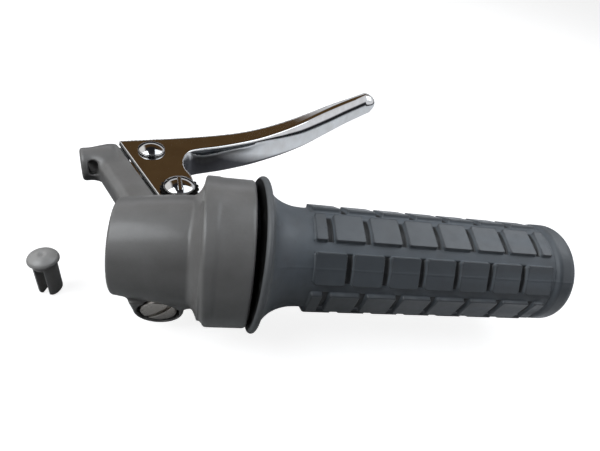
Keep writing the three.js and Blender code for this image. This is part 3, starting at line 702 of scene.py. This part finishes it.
def plug_field(x, y, z):
    centre = (plug_low + plug_high) / 2
    x, y, z = x - centre.x, y - centre.y, z - plug_low.z
    height = plug_high.z - plug_low.z
    head_z = height - 2.7
    around = np.sqrt(x * x + y * y)
    head = dome_distance(x, y, z - head_z, 4.9, 0.9, 1.8, 0.7)
    dimple = np.sqrt(x * x + y * y + (z - height - 0.9) ** 2) - 1.5
    head = smooth_max(head, -dimple, 0.4)
    taper = 0.8 * ease(-z, -1.6, 0.2)
    stem = smooth_max(around - 3.8 + taper, np.abs(z - head_z / 2) - head_z / 2 - 0.2, 0.5)
    body = smooth_min(head, stem, 0.4)
    turn = math.radians(-14)
    across = x * math.cos(turn) + y * math.sin(turn)
    slot = np.maximum(np.abs(across) - 1.5, z - head_z + 2.5)
    return smooth_max(body, -slot, 0.35)


def build_plug():
    points, faces = skin(plug_field, plug_low - Vector((1, 1, 1)), plug_high + Vector((1, 1, 1)), 0.2)
    plug = add_mesh("split_plug_body", points, faces, "grey_paint", "split_plug", "split_plug")
    plug.data.materials[0] = grey_paint("plug_paint", 158)


# ---------------------------------------------------------------- rubber grip

BLOCK_ROWS = 8
BLOCKS = 7
BLOCK_PITCH = 12.05
BLOCK_GAP = 1.8
ROW_GAP = 3.4
ROW_OFFSET = math.radians(146)
TREAD_START = 59.3
TREAD_END = TREAD_START + BLOCKS * BLOCK_PITCH - BLOCK_GAP
FLOOR_R = 16.5
BLOCK_R = 17.9
CUT_DEPTH = 0.55
BLOCK_TAPER = 0.5
BEAD_R, CAP_ROUNDING = 17.4, 3.2
FLANGE_R = grip_high.z
GRIP_BORE_R = 13.5


def grip_profile():
    """The grip without its tread, as points [x, radius] from the inboard face to the end cap."""
    x0, x1 = grip_low.x, grip_high.x
    lip = 1.3
    rim = arc((x0 + lip, FLANGE_R - lip), lip, math.pi, math.pi - 2.5, 14)
    start = rim[-1]
    flare = []
    for t in np.linspace(0.08, 1, 26):
        a, b, c = np.array(start), np.array((x0 + 4.6, 18.0)), np.array((x0 + 13, FLOOR_R + 0.15))
        flare.append(tuple((1 - t) ** 2 * a + 2 * t * (1 - t) * b + t * t * c))
    tread = [(x, FLOOR_R) for x in np.arange(TREAD_START - 2.2, TREAD_END + 1.2, 0.25)]
    bead_x = TREAD_END + 2.2
    swell = [
        (bead_x - 1.0 + t, FLOOR_R - 0.2 + 0.9 * float(ease(t, 0, 1.6))) for t in np.arange(0.1, 1.7, 0.2)
    ]
    bead = [(x, BEAD_R) for x in np.arange(bead_x + 1.0, x1 - CAP_ROUNDING - 0.2, 0.5)]
    cap = arc((x1 - CAP_ROUNDING, BEAD_R - CAP_ROUNDING), CAP_ROUNDING, math.pi / 2, 0, 12)
    face = [(x1 - 0.1 - 0.5 * ease(13 - r, 0, 3), r) for r in (13, 11, 9, 6, 3, 1)]
    inboard = [(x0, GRIP_BORE_R), (x0, (GRIP_BORE_R + FLANGE_R) / 2)]
    return inboard + rim + flare + tread + swell + bead + cap + face


def tread_shape(x, angle):
    """Where the tread's blocks stand and where the cross cuts between them lie, each from 0 to 1."""
    turn = 2 * math.pi / BLOCK_ROWS
    place = (angle - ROW_OFFSET) / turn
    row = np.round(place)
    side = np.abs(place - row) * turn * BLOCK_R
    half_width = (turn * BLOCK_R - ROW_GAP) / 2
    along = (x - TREAD_START) / BLOCK_PITCH + np.where(row % 2 == 0, 0.0, 0.5)
    local = (along % 1.0) * BLOCK_PITCH
    length = BLOCK_PITCH - BLOCK_GAP
    low, high = np.zeros_like(local), np.full_like(local, length)
    start = x - local
    low = np.maximum(low, TREAD_START - start)
    high = np.minimum(high, TREAD_END - start)
    half, middle = (high - low) / 2, (low + high) / 2
    corner = 0.9
    dx = np.abs(local - middle) - half + corner
    dy = side - half_width + corner
    outside = np.hypot(np.maximum(dx, 0), np.maximum(dy, 0)) + np.minimum(np.maximum(dx, dy), 0) - corner
    outside = np.where(half > 0.2, outside, 1.0)
    block = 1 - ease(outside, -0.35, 0.1)
    return block, (1 - block) * (1 - ease(side, half_width - 0.5, half_width))


def build_grip():
    profile = np.array(grip_profile())
    count = 520
    angles = np.arange(count) * 2 * math.pi / count
    x = np.repeat(profile[:, :1], count, axis=1)
    radius = np.repeat(profile[:, 1:], count, axis=1)
    angle = np.repeat(angles[None, :], len(profile), axis=0)
    turn = 2 * math.pi / BLOCK_ROWS
    off_row = (angle - ROW_OFFSET + turn / 2) % turn - turn / 2
    top = (BLOCK_R - 0.35) / np.cos(off_row)
    height = top - BLOCK_TAPER * (x - TREAD_START) / (TREAD_END - TREAD_START) - FLOOR_R
    tread = (x > TREAD_START - 1) & (x < TREAD_END + 1)
    block, cut = tread_shape(x, angle)
    radius = radius + np.where(tread, block * height, 0)
    radius = radius - np.where((x > TREAD_START) & (x < TREAD_END), CUT_DEPTH * cut, 0)
    seam = np.abs((angle - ROW_OFFSET + math.pi) % (2 * math.pi) - math.pi) * BLOCK_R
    on_body = (x > grip_low.x + 2) & (x < grip_high.x - 0.5)
    radius = radius + np.where(on_body, 0.07 * np.exp(-(seam / 0.3) ** 2), 0)
    # the flange's lip is pushed back from the bell on the rider's side
    facing = np.maximum(np.cos(angle - ROW_OFFSET + 0.5), 0) ** 1.2
    x = x + 2.0 * facing * (1 - ease(x, grip_low.x + 1, grip_low.x + 7)) * ease(radius, 18, 21)
    points = np.stack([x, radius * np.cos(angle), radius * np.sin(angle)], axis=2).reshape(-1, 3)
    rings = len(profile)
    index = np.arange(rings * count).reshape(rings, count)
    across = np.roll(index, -1, axis=1)
    faces = np.stack([index[:-1], index[1:], across[1:], across[:-1]], axis=2).reshape(-1, 4).tolist()
    # the closed end's face, then the bore and its blind end, which the tube fills
    bore_end = tube_high.x + 0.5
    bore = np.stack([
        np.full(count, bore_end), GRIP_BORE_R * np.cos(angles), GRIP_BORE_R * np.sin(angles),
    ], axis=1)
    tip = len(points)
    points = np.concatenate([points, [[grip_high.x - 0.6, 0, 0], [bore_end, 0, 0]], bore])
    bore_ring = tip + 2 + np.arange(count)
    for i in range(count):
        j = (i + 1) % count
        faces.append([tip, int(index[-1][i]), int(index[-1][j])])
        faces.append([int(bore_ring[j]), int(bore_ring[i]), tip + 1])
        faces.append([int(index[0][j]), int(index[0][i]), int(bore_ring[i]), int(bore_ring[j])])
    return add_mesh("grip_sleeve", points, faces, "grip_rubber", "throttle", "rubber_grip")


build_housing()
build_lever()
build_screws()
build_plug()
build_grip()

# ---------------------------------------------------------------- CAD nodes that stay

SLOTS = {
    "zinc_plate": [
        "clamp_washer", "pivot_nut", "cable_pin_washer", "throttle_cable_adjuster", "adjuster_lock_nut",
    ],
    "dark_steel": ["cable_pin_clip", "retaining_ring"],
    "brass": ["lever_bush"],
    "ivory_nylon": ["throttle_tube", "thrust_washer"],
    "black_felt": ["dust_ring"],
}
for slot_name, members in SLOTS.items():
    for member in members:
        node = frame["nodes"][member]
        node.data.materials.clear()
        node.data.materials.append(MATERIALS[slot_name])
        bevel = node.modifiers.new("broken_edges", "BEVEL")
        bevel.width = 0.12 * MM
        bevel.segments = 2
        bevel.angle_limit = math.radians(40)


# ---------------------------------------------------------------- floor, light, camera

def build_floor():
    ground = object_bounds()[0].z
    mesh = bpy.data.meshes.new("floor")
    reach = 4.0
    turns = ((-1, -1), (1, -1), (1, 1), (-1, 1))
    corners = [(x * reach, y * reach, ground) for x, y in turns]
    mesh.from_pydata(corners, [], [(0, 1, 2, 3)])
    floor = bpy.data.objects.new("floor", mesh)
    bpy.context.scene.collection.objects.link(floor)
    floor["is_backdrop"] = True
    f = Finish("floor_white", roughness=0.9, specular_ior_level=0.1)
    paths = f.node("ShaderNodeLightPath")
    grain = f.shift(f.noise(60, 3), 0.3, 0.7)
    pale = f.mix(grain, (0.50, 0.50, 0.50, 1), (0.54, 0.54, 0.54, 1))
    split = f.node("ShaderNodeSeparateXYZ", Vector=f.place)
    far = f.shift(split.outputs["X"], (START.x + 78) * MM, (START.x + 105) * MM)
    back = f.shift(split.outputs["Y"], -0.02, 0.01)
    near = f.mix(back, (0.55, 0.56, 0.56, 1), (0.1, 0.1, 0.11, 1))
    mirrored = f.mix(far, near, (0.97, 0.98, 1, 1))
    bounced = f.mix(paths.outputs["Is Glossy Ray"], (0.08, 0.08, 0.08, 1), mirrored)
    seen = f.mix(paths.outputs["Is Camera Ray"], bounced, pale)
    f.colour(seen)
    f.join((1, 1, 1, 1), f.shader.inputs["Emission Color"])
    f.join(f.maths("MULTIPLY", paths.outputs["Is Camera Ray"], 0.85), f.shader.inputs["Emission Strength"])
    floor.data.materials.append(f.material)


def build_world():
    """A dim room for scattered light. Polished metal also sees its pale walls and a brown band behind."""
    world = bpy.data.worlds.new("studio")
    bpy.context.scene.world = world
    world.use_nodes = True
    tree = world.node_tree
    background = tree.nodes["Background"]
    place = tree.nodes.new("ShaderNodeTexCoord").outputs["Generated"]
    split = tree.nodes.new("ShaderNodeSeparateXYZ")
    tree.links.new(place, split.inputs[0])

    def ramp(axis, stops):
        """A colour that changes along one axis of the sky, with stops from -1 to 1."""
        share = tree.nodes.new("ShaderNodeMapRange")
        tree.links.new(split.outputs[axis], share.inputs["Value"])
        share.inputs["From Min"].default_value = -1
        made = tree.nodes.new("ShaderNodeValToRGB")
        tree.links.new(share.outputs[0], made.inputs[0])
        items = made.color_ramp.elements
        while len(items) < len(stops):
            items.new(0.5)
        for item, (at, colour) in zip(items, stops):
            item.position = (at + 1) / 2
            item.color = (*colour, 1)
        return made.outputs[0]

    def mix(share, low, high):
        made = tree.nodes.new("ShaderNodeMix")
        made.data_type = "RGBA"
        tree.links.new(share, made.inputs["Factor"])
        for value, socket in zip((low, high), COLOUR_SOCKETS):
            tree.links.new(value, made.inputs[socket])
        return made.outputs[2]

    white, brown, dark = (0.8, 0.81, 0.84), (0.085, 0.05, 0.022), (0.02, 0.021, 0.025)
    behind = ramp("Z", [
        (0.0, dark), (0.22, dark), (0.28, white), (0.41, white),
        (0.45, brown), (0.72, brown), (0.85, dark), (1.0, dark),
    ])
    before = ramp("Z", [(0.0, dark), (0.6, dark), (0.8, (0.2, 0.2, 0.21)), (1.0, dark)])
    beside = ramp("Z", [
        (0.0, dark), (0.12, dark), (0.2, white), (0.5, white), (0.84, (0.5, 0.5, 0.5)), (0.94, dark),
    ])
    room = mix(ramp("Y", [(-0.1, (0, 0, 0)), (0.25, (1, 1, 1))]), before, behind)
    room = mix(ramp("X", [(0.52, (0, 0, 0)), (0.62, (1, 1, 1))]), room, beside)
    pane = ramp("Z", [(0.25, dark), (0.35, (1.0, 1.0, 1.0)), (0.84, (1.0, 1.0, 1.0)), (0.94, dark)])
    room = mix(ramp("X", [(-0.56, (1, 1, 1)), (-0.46, (0, 0, 0))]), room, pane)
    scattered = ramp("Z", [(0.0, (0.015, 0.015, 0.016)), (1.0, (0.03, 0.03, 0.033))])
    paths = tree.nodes.new("ShaderNodeLightPath").outputs
    unseen = mix(paths["Is Glossy Ray"], scattered, room)
    backdrop = ramp("Z", [(0.0, (0.85, 0.85, 0.85)), (1.0, (0.7, 0.7, 0.7))])
    tree.links.new(mix(paths["Is Camera Ray"], unseen, backdrop), background.inputs["Color"])


def add_light(name, direction, size, power, colour=(1, 1, 1), mirrored=True):
    """A soft square light aimed at the part from 0.6 m; one that isn't mirrored makes no highlights."""
    low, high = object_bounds()
    target = (low + high) / 2
    data = bpy.data.lights.new(name, "AREA")
    data.size = size
    data.energy = power
    data.color = colour
    light = bpy.data.objects.new(name, data)
    bpy.context.scene.collection.objects.link(light)
    light.location = target + Vector(direction).normalized() * 0.6
    light.rotation_euler = (target - light.location).to_track_quat("-Z", "Y").to_euler()
    light.visible_glossy = mirrored


def build_camera():
    """Above and in front of the grip, looking down and a little inboard, with the picture rolled."""
    azimuth, down, roll = math.radians(14.76), math.radians(40.0), math.radians(13.95)
    forward = Vector((
        math.sin(azimuth) * math.cos(down), math.cos(azimuth) * math.cos(down), -math.sin(down),
    ))
    level = Vector((math.cos(azimuth), -math.sin(azimuth), 0))
    upward = level.cross(forward)
    right = level * math.cos(roll) + upward * math.sin(roll)
    up = right.cross(forward)
    data = bpy.data.cameras.new("camera")
    data.lens = 26.11
    camera = bpy.data.objects.new("camera", data)
    bpy.context.scene.collection.objects.link(camera)
    eye = (START + Vector((28.86, -101.48, 101.83))) * MM
    camera.matrix_world = Matrix.Translation(eye) @ Matrix((
        (right.x, up.x, -forward.x), (right.y, up.y, -forward.y), (right.z, up.z, -forward.z),
    )).to_4x4()
    data.clip_start = 0.01
    bpy.context.scene.camera = camera


build_floor()
build_world()
add_light("top_light", (0.0, 0.65, 0.75), 0.4, 0.65, mirrored=False)
add_light("left_side_light", (-0.93, -0.1, 0.37), 0.4, 0.9, mirrored=False)
add_light("right_side_light", (0.85, -0.05, 0.5), 0.4, 0.45, (0.92, 0.96, 1), mirrored=False)
add_light("left_light", (-0.56, -0.25, 0.79), 0.34, 1.45, (0.93, 0.97, 1))
add_light("right_light", (0.50, 0.12, 0.84), 0.44, 1.2, (0.90, 0.95, 1))
build_camera()
bpy.context.scene.view_settings.view_transform = "Standard"
